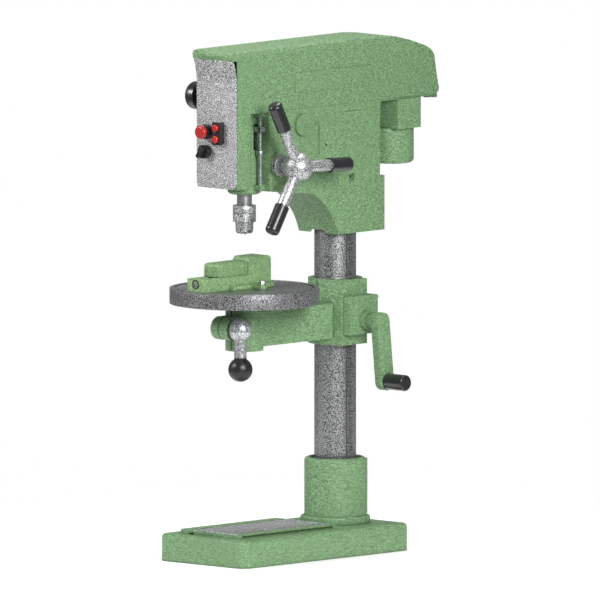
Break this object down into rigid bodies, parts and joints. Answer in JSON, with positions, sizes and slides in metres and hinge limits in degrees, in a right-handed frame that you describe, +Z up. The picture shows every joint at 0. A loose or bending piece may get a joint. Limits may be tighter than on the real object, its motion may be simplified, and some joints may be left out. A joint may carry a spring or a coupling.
{
  "type": "drill press",
  "caption": "Floor-standing column drilling machine with belt-driven spindle, three-arm feed capstan, cranked round table and vice.",
  "frame": {"origin": "centre of the base plate's underside, which is the centre of its floor bolt pattern", "axes": "+Z up, operator stands at -Y, feed capstan and table crank at +X"},
  "size_m": [0.5266, 1.0539, 1.65],
  "materials": {
    "green_paint": "fine hammered green enamel",
    "green_cast": "green enamel over rough cast iron",
    "vice_paint": "bright green enamel",
    "column_steel": "grainy bright steel",
    "panel_aluminium": "grainy silver",
    "machined_steel": "machined",
    "handle_steel": "grainy bright steel",
    "fastener_steel": "zinc plated",
    "bronze": "plain bearing bronze",
    "stator_iron": "laminated iron with copper windings",
    "black_grip": "black phenolic",
    "black_plastic": "black moulded",
    "red_plastic": "red moulded",
    "belt_rubber": "black rubber"
  },
  "bodies": {
    "frame": {"base_plate": "green_cast", "column_socket": "green_cast", "socket_screws": "fastener_steel", "column": "column_steel", "head_casting": "green_paint", "head_clamp_screws": "fastener_steel", "front_panel": "panel_aluminium", "stop_collar": "black_plastic", "button_box": "black_plastic", "spring_housing": "green_paint", "return_spring": "machined_steel", "pinion_bushes": "bronze", "depth_rod": "machined_steel", "belt_guard_base": "green_paint", "cover_hinge_pin": "machined_steel", "drive_bearings": "machined_steel", "v_belt": "belt_rubber", "motor_box": "green_paint", "motor_housing": "green_paint", "motor_stator": "stator_iron", "cable_gland": "black_plastic"},
    "cover": {"belt_cover": "green_paint"},
    "lock_knob": {"cover_knob": "black_grip"},
    "drive_pulley": {"spindle_pulley": "panel_aluminium"},
    "motor_rotor": {"motor_shaft": "machined_steel", "motor_pulley": "panel_aluminium"},
    "quill_sleeve": {"quill": "machined_steel", "quill_bearings": "machined_steel", "depth_dog": "machined_steel"},
    "stop_nut": {"depth_nut": "machined_steel"},
    "drill_spindle": {"spindle": "machined_steel", "chuck_body": "handle_steel"},
    "chuck_ring": {"chuck_sleeve": "handle_steel"},
    "jaw_1": {"chuck_jaw_1": "machined_steel"},
    "jaw_2": {"chuck_jaw_2": "machined_steel"},
    "jaw_3": {"chuck_jaw_3": "machined_steel"},
    "capstan": {"feed_shaft": "machined_steel", "feed_hub": "handle_steel", "feed_spokes": "handle_steel", "feed_grips": "black_grip", "feed_dial": "panel_aluminium"},
    "emergency_button": {"stop_button": "red_plastic"},
    "on_button": {"start_button": "red_plastic"},
    "halt_button": {"off_button": "red_plastic"},
    "rotary_switch": {"switch_knob": "black_plastic"},
    "rack": {"lift_rack": "column_steel"},
    "table_arm": {"table_bracket": "green_cast", "gearbox_cover": "green_cast", "gearbox_screws": "fastener_steel"},
    "crank": {"worm_shaft": "machined_steel", "crank_arm": "green_cast"},
    "crank_handle": {"crank_grip": "black_grip"},
    "lift_gear": {"lift_pinion": "machined_steel"},
    "column_lock": {"column_clamp_lever": "handle_steel"},
    "table_lock": {"table_clamp_lever": "handle_steel"},
    "table": {"round_table": "column_steel", "vice_body": "vice_paint", "vice_bolts": "fastener_steel"},
    "moving_jaw": {"vice_jaw": "vice_paint"},
    "jaw_screw": {"vice_screw": "machined_steel"}
  },
  "joints": [
    {"name": "cover_open", "type": "hinge", "parent": "frame", "child": "cover", "pos_m": [0, 0.621, 1.437], "axis": [-1, 0, 0], "range_deg": [0, 75]},
    {"name": "knob_turn", "type": "hinge", "parent": "cover", "child": "lock_knob", "pos_m": [0, -0.262, 1.492], "axis": [1, 0, 0], "range_deg": [0, 90]},
    {"name": "motor_spin", "type": "hinge", "parent": "frame", "child": "motor_rotor", "pos_m": [0, 0.494, 1.3], "axis": [0, 0, 1], "continuous": true},
    {"name": "pulley_spin", "type": "hinge", "parent": "frame", "child": "drive_pulley", "pos_m": [0, -0.186, 1.45], "axis": [0, 0, 1], "continuous": true},
    {"name": "quill_feed", "type": "slide", "parent": "frame", "child": "quill_sleeve", "axis": [0, 0, -1], "range_m": [0, 0.06], "stiffness_N_per_m": 400, "springref_m": -0.5},
    {"name": "spindle_spin", "type": "hinge", "parent": "quill_sleeve", "child": "drill_spindle", "pos_m": [0, -0.186, 1.3], "axis": [0, 0, 1], "continuous": true},
    {"name": "sleeve_turn", "type": "hinge", "parent": "drill_spindle", "child": "chuck_ring", "pos_m": [0, -0.186, 1.09], "axis": [0, 0, 1], "range_deg": [0, 720]},
    {"name": "jaw_1_slide", "type": "slide", "parent": "drill_spindle", "child": "jaw_1", "axis": [0, -0.2419, -0.9703], "range_m": [0, 0.0081]},
    {"name": "jaw_2_slide", "type": "slide", "parent": "drill_spindle", "child": "jaw_2", "axis": [0.2095, 0.121, -0.9703], "range_m": [0, 0.0081]},
    {"name": "jaw_3_slide", "type": "slide", "parent": "drill_spindle", "child": "jaw_3", "axis": [-0.2095, 0.121, -0.9703], "range_m": [0, 0.0081]},
    {"name": "feed_turn", "type": "hinge", "parent": "frame", "child": "capstan", "pos_m": [0, -0.136, 1.275], "axis": [1, 0, 0], "range_deg": [0, 215]},
    {"name": "nut_slide", "type": "slide", "parent": "frame", "child": "stop_nut", "axis": [0, 0, 1], "range_m": [-0.05, 0]},
    {"name": "stop_press", "type": "slide", "parent": "frame", "child": "emergency_button", "axis": [0, 1, 0], "range_m": [0, 0.005], "stiffness_N_per_m": 800, "springref_m": -0.003},
    {"name": "start_press", "type": "slide", "parent": "frame", "child": "on_button", "axis": [0, 1, 0], "range_m": [0, 0.004], "stiffness_N_per_m": 500, "springref_m": -0.002},
    {"name": "off_press", "type": "slide", "parent": "frame", "child": "halt_button", "axis": [0, 1, 0], "range_m": [0, 0.004], "stiffness_N_per_m": 500, "springref_m": -0.002},
    {"name": "switch_turn", "type": "hinge", "parent": "frame", "child": "rotary_switch", "pos_m": [-0.042, -0.317, 1.323], "axis": [0, 1, 0], "range_deg": [-45, 45]},
    {"name": "table_swing", "type": "hinge", "parent": "frame", "child": "rack", "pos_m": [0, 0.236, 0.7], "axis": [0, 0, 1], "range_deg": [-90, 90]},
    {"name": "table_lift", "type": "slide", "parent": "rack", "child": "table_arm", "axis": [0, 0, 1], "range_m": [-0.34, 0]},
    {"name": "lift_gear_turn", "type": "hinge", "parent": "table_arm", "child": "lift_gear", "pos_m": [0.095, 0.236, 0.778], "axis": [0, 1, 0], "range_deg": [0, 1083]},
    {"name": "crank_turn", "type": "hinge", "parent": "table_arm", "child": "crank", "pos_m": [0.2, 0.244, 0.748], "axis": [1, 0, 0], "range_deg": [0, 21650]},
    {"name": "grip_spin", "type": "hinge", "parent": "crank", "child": "crank_handle", "pos_m": [0.28, 0.26438, 0.55407], "axis": [1, 0, 0], "continuous": true},
    {"name": "column_lock_turn", "type": "hinge", "parent": "table_arm", "child": "column_lock", "pos_m": [-0.1, 0.314, 0.79], "axis": [1, 0, 0], "range_deg": [-40, 40]},
    {"name": "table_lock_turn", "type": "hinge", "parent": "table_arm", "child": "table_lock", "pos_m": [0.064, -0.272, 0.752], "axis": [1, 0, 0], "range_deg": [-70, 8]},
    {"name": "table_turn", "type": "hinge", "parent": "table_arm", "child": "table", "pos_m": [0, -0.186, 0.85], "axis": [0, 0, 1], "continuous": true},
    {"name": "jaw_slide", "type": "slide", "parent": "table", "child": "moving_jaw", "axis": [0, -1, 0], "range_m": [0, 0.055]},
    {"name": "screw_turn", "type": "hinge", "parent": "table", "child": "jaw_screw", "pos_m": [0, -0.364, 0.904], "axis": [0, 1, 0], "range_deg": [-3961, 0]}
  ],
  "couplings": [
    {"joint": "pulley_spin", "follows": "motor_spin", "ratio": 1},
    {"joint": "spindle_spin", "follows": "motor_spin", "ratio": 1},
    {"joint": "feed_turn", "follows": "quill_feed", "rad_per_m": 62.5},
    {"joint": "jaw_1_slide", "follows": "sleeve_turn", "m_per_rad": 0.00063662},
    {"joint": "jaw_2_slide", "follows": "sleeve_turn", "m_per_rad": 0.00063662},
    {"joint": "jaw_3_slide", "follows": "sleeve_turn", "m_per_rad": 0.00063662},
    {"joint": "lift_gear_turn", "follows": "table_lift", "rad_per_m": -55.556},
    {"joint": "crank_turn", "follows": "table_lift", "rad_per_m": -1111.1},
    {"joint": "screw_turn", "follows": "jaw_slide", "rad_per_m": -1256.6}
  ]
}
